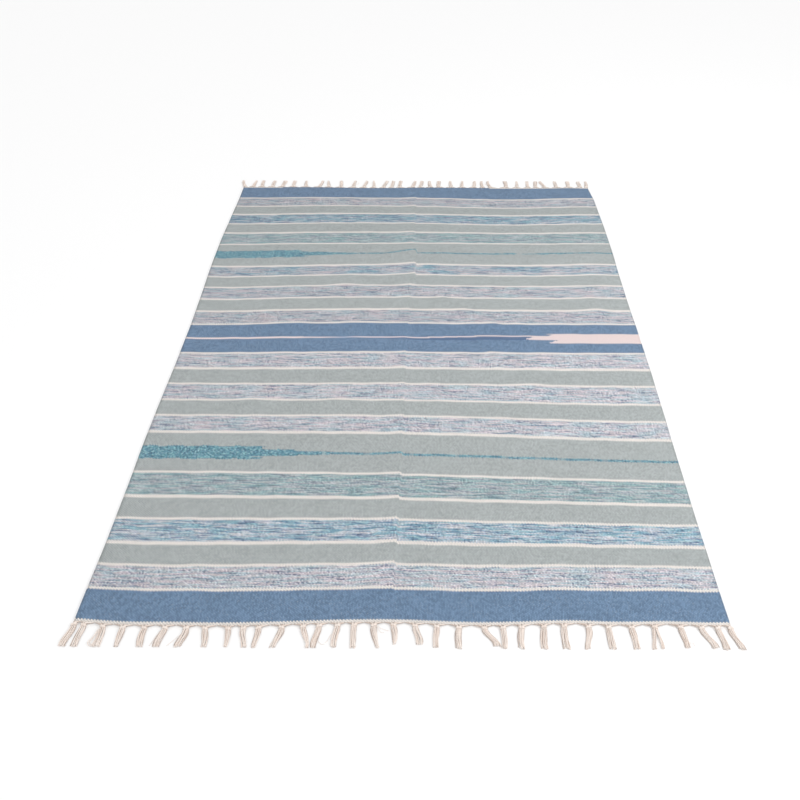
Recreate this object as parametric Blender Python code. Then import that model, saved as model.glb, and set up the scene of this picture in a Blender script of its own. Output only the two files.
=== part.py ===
"""Flat-woven striped kilim with a knotted warp fringe at both ends, lying flat.

Metres, +X across the rug, +Y along its warp, +Z up. The origin is under the middle of the whole rug,
on the surface that it lies on.
"""
from math import pi, sin
from typing import NamedTuple

import bmesh
import bpy

# Driving sizes of the woven cloth
WEB_WIDTH = 1.400
WEB_LENGTH = 2.012
WEB_THICKNESS = 0.004
EDGE_ROUNDING = 0.0011
OUTLINE_STEPS = 40
CORNER_TAPER = 0.10

# Driving sizes of the fringe: the rolled edge row, its knots and the strands of warp yarn
PARTING_GAP = 0.0003
EDGE_ROW_DEPTH = 0.0060
EDGE_ROW_HEIGHT = 0.0045
KNOT_WIDTH = 0.0104
KNOT_TOP_WIDTH = 0.0062
KNOT_HEIGHT = 0.0065
KNOT_SIDES = 8
KNOT_LIFT = 0.0003
KNOT_STANDOFF = 0.0012
STRANDS_PER_TASSEL = 4
STRAND_WIDTH = 0.0020
STRAND_HEIGHT = 0.0030
STRAND_TIP_SCALE = 0.85
STRAND_SEGMENTS = 4
ROOT_PITCH = 0.00235
FRINGE_REACH = 1.0680
SHORTEST_CUT = 0.0045
STRAND_PHASE = 2.4
TASSEL_PHASE = 0.9

MILLIMETRE = 0.001
FLOOR_SNAP = 0.000001
WELD_DISTANCE = 0.00002


class Swell(NamedTuple):
    """One long low wave in an edge of the cloth: how far it swells outward, and where and how widely."""

    middle: float
    half_width: float
    height: float


class Tassel(NamedTuple):
    """One knotted tassel, all in millimetres.

    across is the knot's place from the rug's middle, lean the sideways run of the tip, pitch the spacing of
    the strand tips, split the gap between the two legs of a tassel that has parted, and short how much
    sooner than its neighbours it ends.
    """

    across: float
    lean: float
    pitch: float = 3.0
    split: float = 0.0
    short: float = 0.0


# The two ends aren't quite straight: each swells outward by a few millimetres in places
NEAR_SWELLS = (
    Swell(-0.60, 0.14, 0.0045), Swell(-0.40, 0.36, 0.0105), Swell(0.17, 0.20, 0.0060), Swell(0.47, 0.12, 0.0030),
    Swell(0.66, 0.12, 0.0035),
)
FAR_SWELLS = (Swell(-0.17, 0.26, -0.0055), Swell(0.33, 0.30, -0.0030), Swell(0.62, 0.08, 0.0030))

# Nor are its selvedges, between their corners: the right one bows outward, the left one a little inward
RIGHT_SWELLS = (Swell(0.62, 0.80, 0.0135), Swell(-0.15, 0.60, 0.0090))
LEFT_SWELLS = (Swell(0.50, 0.50, 0.0070), Swell(0.02, 0.45, -0.0035), Swell(-0.70, 0.35, -0.0030))

NEAR_TASSELS = (
    Tassel(-689, -10), Tassel(-674, 0, 2.8), Tassel(-634, -2, 3.4), Tassel(-591, -1), Tassel(-545, 0),
    Tassel(-501, -8), Tassel(-456, -10), Tassel(-416, 6, 2.6), Tassel(-367, 1), Tassel(-335, 9, 2.6),
    Tassel(-303, -4), Tassel(-254, -13), Tassel(-209, 14, 2.4), Tassel(-175, -8, 2.4), Tassel(-136, -5),
    Tassel(-101, 2, 2.6), Tassel(-59, 10, 3.2), Tassel(-17, 3, 2.8, 0, 9), Tassel(29, 9, 2.8, 4, 9),
    Tassel(75, -3, 2.6, 0, 2), Tassel(122, 0, 2.6), Tassel(176, 25, 2.5, 0, 6), Tassel(215, 0, 2.5),
    Tassel(255, -2, 2.9), Tassel(302, -3), Tassel(345, 1, 3.1), Tassel(397, -10, 2.5), Tassel(439, 2),
    Tassel(488, 3), Tassel(537, -1, 2.5, 13), Tassel(592, 4, 2.7, 0, 4), Tassel(636, 18, 2.6, 0, 3),
    Tassel(670, 6, 2.8), Tassel(697, 13, 2.6, 0, 1),
)

FAR_TASSELS = (
    Tassel(-697, -13, 2.6), Tassel(-663, 6), Tassel(-626, -3), Tassel(-583, 2), Tassel(-544, 7, 3.3),
    Tassel(-498, 0), Tassel(-447, -4, 3.2), Tassel(-392, 9, 2.8), Tassel(-354, -7, 2.8), Tassel(-306, 0),
    Tassel(-253, 3), Tassel(-211, 10, 2.6), Tassel(-170, -2), Tassel(-130, 12, 2.6), Tassel(-98, 6, 2.6),
    Tassel(-65, 3, 2.6), Tassel(-11, 8, 2.8), Tassel(20, 6, 2.6), Tassel(62, -5, 2.8), Tassel(95, 0, 3.2),
    Tassel(146, -3, 3.2), Tassel(190, 2), Tassel(237, 5), Tassel(274, -2, 2.6), Tassel(305, -8, 2.8),
    Tassel(369, -2), Tassel(412, 3, 3.2), Tassel(459, 0), Tassel(490, 2, 2.6), Tassel(526, -13, 2.8),
    Tassel(575, -4), Tassel(624, 1), Tassel(672, -3, 2.8), Tassel(696, 4, 2.6),
)


def clear_scene():
    """Remove whatever the file held before."""
    for old in list(bpy.data.objects):
        bpy.data.objects.remove(old)


def new_collection(name):
    """Make a collection under the scene's own."""
    made = bpy.data.collections.new(name)
    bpy.context.scene.collection.children.link(made)
    return made


def cloth_material(name, colour, roughness):
    """Make the plain finish of one sub-part."""
    made = bpy.data.materials.new(name)
    made.use_nodes = True
    shader = made.node_tree.nodes["Principled BSDF"]
    shader.inputs["Base Color"].default_value = (*colour, 1.0)
    shader.inputs["Roughness"].default_value = roughness
    shader.inputs["Metallic"].default_value = 0.0
    return made


def swell_at(place, swells):
    """How far an edge of the cloth stands outward of its straight line at this place along it, in metres."""
    total = 0.0
    for swell in swells:
        away = (place - swell.middle) / swell.half_width
        if abs(away) < 1.0:
            total += swell.height * 0.5 * (1.0 + sin(pi * (0.5 + away)))
    return total


def end_line(swells, offset, steps=OUTLINE_STEPS):
    """Points (across, out) along one end of the cloth, a given distance outside its edge."""
    points = []
    for step in range(steps + 1):
        across = WEB_WIDTH * (step / steps - 0.5)
        points.append((across, WEB_LENGTH / 2 + swell_at(across, swells) + offset))
    return points


def side_line(swells, steps=OUTLINE_STEPS):
    """Points (out, along) of one selvedge from the near end to the far one, its two corners left out."""
    points = []
    for step in range(1, steps):
        along = WEB_LENGTH * (step / steps - 0.5)
        taper = min(1.0, (WEB_LENGTH / 2 - abs(along)) / CORNER_TAPER)
        points.append((WEB_WIDTH / 2 + swell_at(along, swells) * taper, along))
    return points


def object_from_bmesh(shape, name, collection, material):
    """Put a finished bmesh into a new object, its lowest points exactly on the floor."""
    for vertex in shape.verts:
        if abs(vertex.co.z) < FLOOR_SNAP:
            vertex.co.z = 0.0
    mesh = bpy.data.meshes.new(name)
    shape.to_mesh(mesh)
    shape.free()
    mesh.materials.append(material)
    made = bpy.data.objects.new(name, mesh)
    collection.objects.link(made)
    return made


def mesh_from_curve(curve_object, name, collection, material):
    """Turn a curve object into a welded mesh object and remove the curve."""
    bpy.context.view_layer.update()
    depsgraph = bpy.context.evaluated_depsgraph_get()
    curve_mesh = bpy.data.meshes.new_from_object(curve_object.evaluated_get(depsgraph))
    welded = bmesh.new()
    welded.from_mesh(curve_mesh)
    bmesh.ops.transform(welded, matrix=curve_object.matrix_world, verts=welded.verts)
    bmesh.ops.remove_doubles(welded, verts=welded.verts, dist=WELD_DISTANCE)
    bmesh.ops.recalc_face_normals(welded, faces=welded.faces)
    bpy.data.meshes.remove(curve_mesh)
    bpy.data.objects.remove(curve_object)
    return object_from_bmesh(welded, name, collection, material)


def flat_sheet(name, outline, height, collection, material):
    """Make a flat piece of even thickness with rounded edges, its underside on the floor."""
    curve = bpy.data.curves.new(name + "_outline", "CURVE")
    curve.dimensions = "2D"
    curve.fill_mode = "BOTH"
    curve.extrude = height / 2 - EDGE_ROUNDING
    curve.bevel_depth = EDGE_ROUNDING
    curve.bevel_resolution = 0
    curve.offset = -EDGE_ROUNDING
    spline = curve.splines.new("POLY")
    spline.points.add(len(outline) - 1)
    for point, (x, y) in zip(spline.points, outline):
        point.co = (x, y, 0.0, 1.0)
    spline.use_cyclic_u = True
    curve_object = bpy.data.objects.new(name + "_outline", curve)
    curve_object.location.z = height / 2
    collection.objects.link(curve_object)
    return mesh_from_curve(curve_object, name, collection, material)


def make_web(collection):
    """The woven cloth: gently swelling ends and selvedges."""
    near = [(x, -y) for x, y in end_line(NEAR_SWELLS, 0.0)]
    far = end_line(FAR_SWELLS, 0.0)
    right = side_line(RIGHT_SWELLS)
    left = [(-x, y) for x, y in side_line(LEFT_SWELLS)]
    cotton = cloth_material("woven_cotton", (0.36, 0.45, 0.49), 0.9)
    return flat_sheet("kilim_web", near + right + far[::-1] + left[::-1], WEB_THICKNESS, collection, cotton)


def knot_middle(across, swells):
    """How far out from the rug's middle a knot's centre lies."""
    return WEB_LENGTH / 2 + swell_at(across, swells) + PARTING_GAP + EDGE_ROW_DEPTH + KNOT_STANDOFF


def make_knots(name, tassels, swells, side, collection, material):
    """All the knots of one end, in one cutter object, held just off the floor by the edge row."""
    knots = bmesh.new()
    for tassel in tassels:
        across = tassel.across * MILLIMETRE
        out = knot_middle(across, swells)
        made = bmesh.ops.create_cone(knots, cap_ends=True, segments=KNOT_SIDES, radius1=KNOT_WIDTH / 2,
                                     radius2=KNOT_TOP_WIDTH / 2, depth=KNOT_HEIGHT)
        place = (across, side * out, KNOT_LIFT + KNOT_HEIGHT / 2)
        bmesh.ops.translate(knots, verts=made["verts"], vec=place)
    return object_from_bmesh(knots, name, collection, material)


def strand_path(tassel, strand, swells):
    """Points (across, out) of one strand, from inside its knot to its cut tip."""
    place = strand - (STRANDS_PER_TASSEL - 1) / 2
    root = tassel.across * MILLIMETRE + place * ROOT_PITCH
    leg = tassel.split / 2 * (1 if place > 0 else -1)
    tip = (tassel.across + tassel.lean + place * tassel.pitch + leg) * MILLIMETRE
    start = knot_middle(tassel.across * MILLIMETRE, swells)
    uneven = SHORTEST_CUT * (0.5 + 0.5 * sin(STRAND_PHASE * strand + TASSEL_PHASE * tassel.across))
    end = FRINGE_REACH - tassel.short * MILLIMETRE - uneven
    points = []
    for step in range(STRAND_SEGMENTS + 1):
        along = step / STRAND_SEGMENTS
        eased = along * along * (3.0 - 2.0 * along)
        points.append((root + (tip - root) * eased, start + (end - start) * along))
    return points


def make_strands(name, tassels, swells, side, collection, material):
    """All the strands of one end, in one cutter object: three-sided, each flat on the floor."""
    profile = bpy.data.curves.new(name + "_profile", "CURVE")
    profile.dimensions = "2D"
    section = profile.splines.new("POLY")
    section.points.add(2)
    half = STRAND_WIDTH / 2
    for point, (x, y) in zip(section.points, ((-half, 0.0), (half, 0.0), (0.0, STRAND_HEIGHT))):
        point.co = (x, y, 0.0, 1.0)
    section.use_cyclic_u = True
    profile_object = bpy.data.objects.new(name + "_profile", profile)
    collection.objects.link(profile_object)

    curve = bpy.data.curves.new(name + "_paths", "CURVE")
    curve.dimensions = "3D"
    curve.twist_mode = "Z_UP"
    curve.bevel_mode = "OBJECT"
    curve.bevel_object = profile_object
    curve.use_fill_caps = True
    for tassel in tassels:
        for strand in range(STRANDS_PER_TASSEL):
            path = strand_path(tassel, strand, swells)
            spline = curve.splines.new("POLY")
            spline.points.add(len(path) - 1)
            for step, (point, (across, out)) in enumerate(zip(spline.points, path)):
                point.co = (across, side * out, 0.0, 1.0)
                point.radius = 1.0 + (STRAND_TIP_SCALE - 1.0) * step / STRAND_SEGMENTS
    curve_object = bpy.data.objects.new(name + "_paths", curve)
    collection.objects.link(curve_object)
    made = mesh_from_curve(curve_object, name, collection, material)
    bpy.data.objects.remove(profile_object)
    return made


def unite(target, tool):
    """Fuse a cutter's bodies into the target and keep the cutter out of sight."""
    tool.hide_render = True
    tool.display_type = "WIRE"
    union = target.modifiers.new("fuse_" + tool.name, "BOOLEAN")
    union.operation = "UNION"
    union.solver = "EXACT"
    union.object = tool


def make_fringe(name, tassels, swells, side, collection, cutters):
    """One end's rolled edge row with its knots and strands fused to it."""
    inner = end_line(swells, PARTING_GAP)
    outer = end_line(swells, PARTING_GAP + EDGE_ROW_DEPTH)
    outline = [(x, side * y) for x, y in inner + outer[::-1]]
    cotton = cloth_material(name + "_cotton", (0.72, 0.66, 0.58), 0.92)
    fringe = flat_sheet(name, outline, EDGE_ROW_HEIGHT, collection, cotton)
    unite(fringe, make_knots(name + "_knots", tassels, swells, side, cutters, cotton))
    unite(fringe, make_strands(name + "_strands", tassels, swells, side, cutters, cotton))
    seams = fringe.modifiers.new("close_seams", "WELD")
    seams.merge_threshold = WELD_DISTANCE
    return fringe


def main():
    """Build the rug."""
    clear_scene()
    rug = new_collection("kilim")
    cutters = new_collection("kilim_cutters")
    make_web(rug)
    make_fringe("fringe_near", NEAR_TASSELS, NEAR_SWELLS, -1, rug, cutters)
    make_fringe("fringe_far", FAR_TASSELS, FAR_SWELLS, 1, rug, cutters)


main()
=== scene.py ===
"""A flat-woven striped kilim with knotted warp tassels, lying on a pale studio floor.

Metres throughout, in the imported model's frame: +X across the rug, +Y along its warp towards the far
fringe, +Z up. A warp is one of the cotton threads that run along the rug, and a pick is one pass of the
coloured weft across it. "Across" and "along" are places in the cloth as it was woven, before it was laid.
"""
import logging
from dataclasses import dataclass, field
from enum import Enum
from math import ceil, cos, pi, radians, sin
from random import Random
from typing import Iterable, NamedTuple, Optional, Sequence, Union

import bpy
import numpy as np
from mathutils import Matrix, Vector

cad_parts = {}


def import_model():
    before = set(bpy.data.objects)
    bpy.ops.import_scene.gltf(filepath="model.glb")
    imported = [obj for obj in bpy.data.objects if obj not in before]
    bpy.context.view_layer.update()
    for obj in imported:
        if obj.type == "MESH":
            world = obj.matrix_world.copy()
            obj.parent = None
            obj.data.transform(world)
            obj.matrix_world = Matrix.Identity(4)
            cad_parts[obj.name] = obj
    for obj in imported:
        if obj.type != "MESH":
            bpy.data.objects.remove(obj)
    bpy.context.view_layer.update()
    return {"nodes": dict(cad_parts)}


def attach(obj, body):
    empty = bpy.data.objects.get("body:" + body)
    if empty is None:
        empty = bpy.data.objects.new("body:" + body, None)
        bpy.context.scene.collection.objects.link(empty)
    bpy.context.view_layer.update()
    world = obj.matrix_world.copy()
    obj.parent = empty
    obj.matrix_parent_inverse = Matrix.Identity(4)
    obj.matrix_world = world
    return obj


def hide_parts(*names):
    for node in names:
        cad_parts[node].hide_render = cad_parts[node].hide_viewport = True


log = logging.getLogger("kilim")

MILLIMETRE = 0.001

# The weave: cotton wefts packed so closely over the warps that only the wefts show
WARP_PITCH = 0.00355
PICK_PITCH = 0.0026
HALF_PLAN = 1.000
END_PICKS = 3

# How bright a white surface in the middle of the rug is in the studio's light
LIGHT_LEVEL = 1.12

# The tone of a tassel's outermost yarns, past the 0 to 1 of the others: they lie in its own shade
OUTER_TONE = 1.6

Colour = tuple[float, float, float]
Fed = Union[float, Sequence[float], "Value", bpy.types.NodeSocket]


def seen(red: int, green: int, blue: int) -> Colour:
    """Turn a colour as it looks in the studio's light into the surface's own linear colour.

    Args:
        red, green, blue: how a screen shows it, 0 to 255.

    Returns:
        The linear colour that a shader takes.
    """
    def linear(level: float) -> float:
        """One channel without the screen's curve."""
        return level / 12.92 if level <= 0.04045 else ((level + 0.055) / 1.055) ** 2.4

    return tuple(linear(level / 255) / LIGHT_LEVEL for level in (red, green, blue))


class Side(Enum):
    """An end of the rug, with the sign of its direction along Y."""

    NEAR = -1
    FAR = 1


class BandKind(Enum):
    """What one band across the rug is woven with, and its number in the band plan's ramp."""

    CREAM = 0
    BLUE = 1
    SAGE = 2
    LILAC = 3
    OCEAN = 4
    LAGOON = 5
    TURNED = 6
    CENTRE = 7


class Band(NamedTuple):
    """One band of the plan, counted in picks."""

    kind: BandKind
    picks: int


# From either end to the middle: the rug's two halves mirror each other
BAND_PLAN = (
    Band(BandKind.CREAM, END_PICKS), Band(BandKind.BLUE, 31), Band(BandKind.CREAM, 3),
    Band(BandKind.LILAC, 23), Band(BandKind.CREAM, 3), Band(BandKind.SAGE, 21),
    Band(BandKind.CREAM, 4), Band(BandKind.OCEAN, 24), Band(BandKind.CREAM, 3),
    Band(BandKind.SAGE, 22), Band(BandKind.CREAM, 4), Band(BandKind.LAGOON, 28),
    Band(BandKind.CREAM, 3), Band(BandKind.SAGE, 54), Band(BandKind.CREAM, 4),
    Band(BandKind.TURNED, 22), Band(BandKind.CREAM, 3), Band(BandKind.SAGE, 22),
    Band(BandKind.CREAM, 3), Band(BandKind.LILAC, 24), Band(BandKind.CREAM, 3),
    Band(BandKind.SAGE, 23), Band(BandKind.CREAM, 4), Band(BandKind.LILAC, 23),
    Band(BandKind.CREAM, 3), Band(BandKind.BLUE, 26), Band(BandKind.CENTRE, 2),
)
RAMP_CELLS = 255
OUTER_BANDS = 14
TEAL_PICK = 198.0


@dataclass(frozen=True)
class Swell:
    """A soft round-topped bulge in the lying cloth, or with no height a place where its picks wander.

    across, along is its middle, half_width and half_length where it has fallen to about a third. height is
    how far it lifts the cloth, and pull how far it draws the picks towards the near end.
    """

    across: float
    along: float
    half_width: float
    half_length: float
    height: float = 0.0
    pull: float = 0.0

    def share(self, x: np.ndarray, y: np.ndarray) -> np.ndarray:
        """How much of the swell there is at each place, 0 to 1."""
        aside, ahead = (x - self.across) / self.half_width, (y - self.along) / self.half_length
        return np.exp(-aside ** 2 - ahead ** 2)


@dataclass(frozen=True)
class Crest:
    """A fold line pressed into the cloth: it climbs gently on one side and drops at once on the other.

    It runs from start to end, both (across, along). tail is the width of its gentle side, which is to the
    left of the line from start to end, or to the right where it is negative. drop is the width of the steep
    side. height and pull are a swell's.
    """

    start: tuple[float, float]
    end: tuple[float, float]
    tail: float
    drop: float
    height: float = 0.0
    pull: float = 0.0

    def share(self, x: np.ndarray, y: np.ndarray) -> np.ndarray:
        """How much of the crest there is at each place.

        Args:
            x, y: the places.

        Returns:
            The share of its height and pull, 0 to 1.
        """
        run = Vector(self.end) - Vector(self.start)
        length = run.length
        way_x, way_y = run / length
        forward = ((x - self.start[0]) * way_x + (y - self.start[1]) * way_y) / length
        aside = ((y - self.start[1]) * way_x - (x - self.start[0]) * way_y) * np.sign(self.tail)
        gentle = np.clip(1.0 - aside / abs(self.tail), 0.0, 1.0) ** 2
        steep = np.clip(1.0 + aside / self.drop, 0.0, 1.0)
        steep = steep * steep * (3.0 - 2.0 * steep)
        ends = np.clip(np.minimum(forward, 1.0 - forward) * 6.0 + 0.5, 0.0, 1.0)
        return np.where(aside > 0.0, gentle, steep) * ends * ends * (3.0 - 2.0 * ends)


# Where the cloth doesn't lie quite flat: the fold it was packed on runs down its middle
FOLDS: tuple[Union[Swell, Crest], ...] = (
    Crest((-0.004, 0.56), (0.002, 0.985), 0.090, 0.008, 0.0012, -0.0036),
    Crest((0.006, 0.30), (0.004, 0.53), 0.120, 0.009, 0.0028, -0.0080),
    Crest((-0.014, 0.02), (-0.006, 0.34), 0.060, 0.007, 0.0011, -0.0024),
    Crest((-0.016, -0.55), (-0.016, 0.00), 0.075, 0.007, 0.0009, -0.0030),
    Crest((-0.024, -0.93), (-0.016, -0.50), 0.110, 0.007, 0.0014, -0.0055),
    Crest((0.290, 0.045), (0.085, 0.235), 0.100, 0.014, 0.0021, -0.0040),
    Crest((0.262, -0.150), (0.238, -0.060), -0.070, 0.016, 0.0012, -0.0028),
    Swell(-0.225, 0.300, 0.045, 0.060, 0.0036, -0.0034),
    Swell(0.590, 0.165, 0.042, 0.060, 0.0032, -0.0040),
    Swell(-0.390, 0.075, 0.055, 0.050, 0.0018, -0.0026),
    Swell(-0.160, 0.075, 0.040, 0.040, 0.0013, -0.0014),
    Swell(0.360, -0.215, 0.050, 0.035, 0.0016, -0.0034),
    Swell(-0.200, -0.300, 0.060, 0.060, 0.0015, -0.0024),
    Swell(-0.430, -0.300, 0.050, 0.030, 0.0013, -0.0034),
    Swell(0.300, 0.620, 0.200, 0.090, 0.0020),
    Swell(-0.500, 0.500, 0.160, 0.120, 0.0022),
    Swell(0.480, -0.620, 0.200, 0.120, 0.0020),
    Swell(-0.520, -0.700, 0.180, 0.100, 0.0018),
)

# Where the picks run out of true in the weave itself
DRIFTS: tuple[Swell, ...] = (
    Swell(-0.10, -0.50, 1.20, 0.44, pull=0.0110),
    Swell(0.78, -0.55, 0.50, 0.34, pull=0.0250),
    Swell(0.36, 0.86, 0.24, 0.18, pull=0.0130),
    Swell(-0.30, 0.82, 0.24, 0.14, pull=-0.0060),
    Swell(-0.05, 0.32, 0.34, 0.26, pull=-0.0050),
    Swell(-0.66, 0.30, 0.16, 0.55, pull=0.0070),
    Swell(0.64, 0.36, 0.12, 0.14, pull=-0.0070),
    Swell(0.00, 0.00, 2.00, 2.00, pull=0.0020),
    Swell(-0.56, 0.64, 0.22, 0.36, pull=0.0060),
    Swell(-0.45, -0.18, 0.30, 0.20, pull=0.0050),
    Swell(0.45, -0.56, 0.55, 0.24, pull=0.0090),
    Swell(0.50, -0.30, 0.50, 0.16, pull=0.0040),
    Swell(-0.60, -0.80, 0.25, 0.14, pull=0.0060),
    Swell(0.55, -0.90, 0.30, 0.10, pull=-0.0060),
    Swell(0.32, 0.67, 0.20, 0.06, pull=0.0080),
    Swell(0.62, 0.46, 0.12, 0.16, pull=-0.0060),
    Swell(0.02, 0.46, 0.14, 0.16, pull=-0.0050),
    Swell(-0.15, 0.05, 0.20, 0.20, pull=-0.0045),
    Swell(-0.45, 0.41, 0.20, 0.04, pull=0.0050),
    Swell(-0.60, 0.20, 0.15, 0.15, pull=0.0040),
    Swell(0.10, -0.40, 0.45, 0.14, pull=-0.0045),
)


class EdgeSwell(NamedTuple):
    """One long low wave in an edge of the cloth, as the frame's own edges have it."""

    middle: float
    half_width: float
    height: float


END_SWELLS = {
    Side.NEAR: (
        EdgeSwell(-0.60, 0.14, 0.0045), EdgeSwell(-0.40, 0.36, 0.0105), EdgeSwell(0.17, 0.20, 0.0060),
        EdgeSwell(0.47, 0.12, 0.0030), EdgeSwell(0.66, 0.12, 0.0035),
    ),
    Side.FAR: (
        EdgeSwell(-0.17, 0.26, -0.0055), EdgeSwell(0.33, 0.30, -0.0030), EdgeSwell(0.62, 0.08, 0.0030),
    ),
}
RIGHT_SWELLS = (EdgeSwell(0.62, 0.80, 0.0135), EdgeSwell(-0.15, 0.60, 0.0090))
LEFT_SWELLS = (
    EdgeSwell(0.50, 0.50, 0.0070), EdgeSwell(0.02, 0.45, -0.0035), EdgeSwell(-0.70, 0.35, -0.0030),
)


def swell_at(place: float, swells: Sequence[EdgeSwell]) -> float:
    """How far an edge of the cloth stands outward of its straight line.

    Args:
        place: where along that edge.
        swells: the waves of that edge.

    Returns:
        The distance in metres, outward.
    """
    total = 0.0
    for swell in swells:
        away = (place - swell.middle) / swell.half_width
        if abs(away) < 1.0:
            total += swell.height * 0.5 * (1.0 + sin(pi * (0.5 + away)))
    return total


@dataclass(frozen=True)
class Value:
    """One number in a shader graph, on which Python's operators add Math nodes."""

    graph: "Graph"
    socket: bpy.types.NodeSocket

    def _math(self, operation: str, *others: Fed, swap: bool = False) -> "Value":
        """Add one Math node on this value and others, the other way round where swap is true."""
        fed = (*others, self) if swap else (self, *others)
        node = self.graph.node("ShaderNodeMath", {"operation": operation}, dict(enumerate(fed)))
        return Value(self.graph, node.outputs[0])

    def __add__(self, other: Fed) -> "Value":
        """The sum."""
        return self._math("ADD", other)

    __radd__ = __add__

    def __sub__(self, other: Fed) -> "Value":
        """This less the other."""
        return self._math("SUBTRACT", other)

    def __rsub__(self, other: Fed) -> "Value":
        """The other less this."""
        return self._math("SUBTRACT", other, swap=True)

    def __mul__(self, other: Fed) -> "Value":
        """The product."""
        return self._math("MULTIPLY", other)

    __rmul__ = __mul__

    def __truediv__(self, other: Fed) -> "Value":
        """This over the other."""
        return self._math("DIVIDE", other)

    def __mod__(self, other: Fed) -> "Value":
        """What is left over, never below zero."""
        return self._math("FLOORED_MODULO", other)

    def __lt__(self, other: Fed) -> "Value":
        """1 where this is less."""
        return self._math("LESS_THAN", other)

    def __gt__(self, other: Fed) -> "Value":
        """1 where this is more."""
        return self._math("GREATER_THAN", other)

    def __abs__(self) -> "Value":
        """The value without its sign."""
        return self._math("ABSOLUTE")

    def floor(self) -> "Value":
        """The whole number below."""
        return self._math("FLOOR")

    def fraction(self) -> "Value":
        """What is past the whole number below."""
        return self._math("FRACT")

    def sine(self) -> "Value":
        """The sine of this angle."""
        return self._math("SINE")

    def equals(self, other: Fed, within: float = 0.5) -> "Value":
        """1 where this is the other, give or take a margin."""
        return self._math("COMPARE", other, within)

    def eased(self, low: float, high: float) -> "Value":
        """0 below low and 1 above high, with a smooth climb between."""
        node = self.graph.node("ShaderNodeMapRange", {"interpolation_type": "SMOOTHSTEP"},
                               {"Value": self, "From Min": low, "From Max": high})
        return Value(self.graph, node.outputs["Result"])


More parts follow.
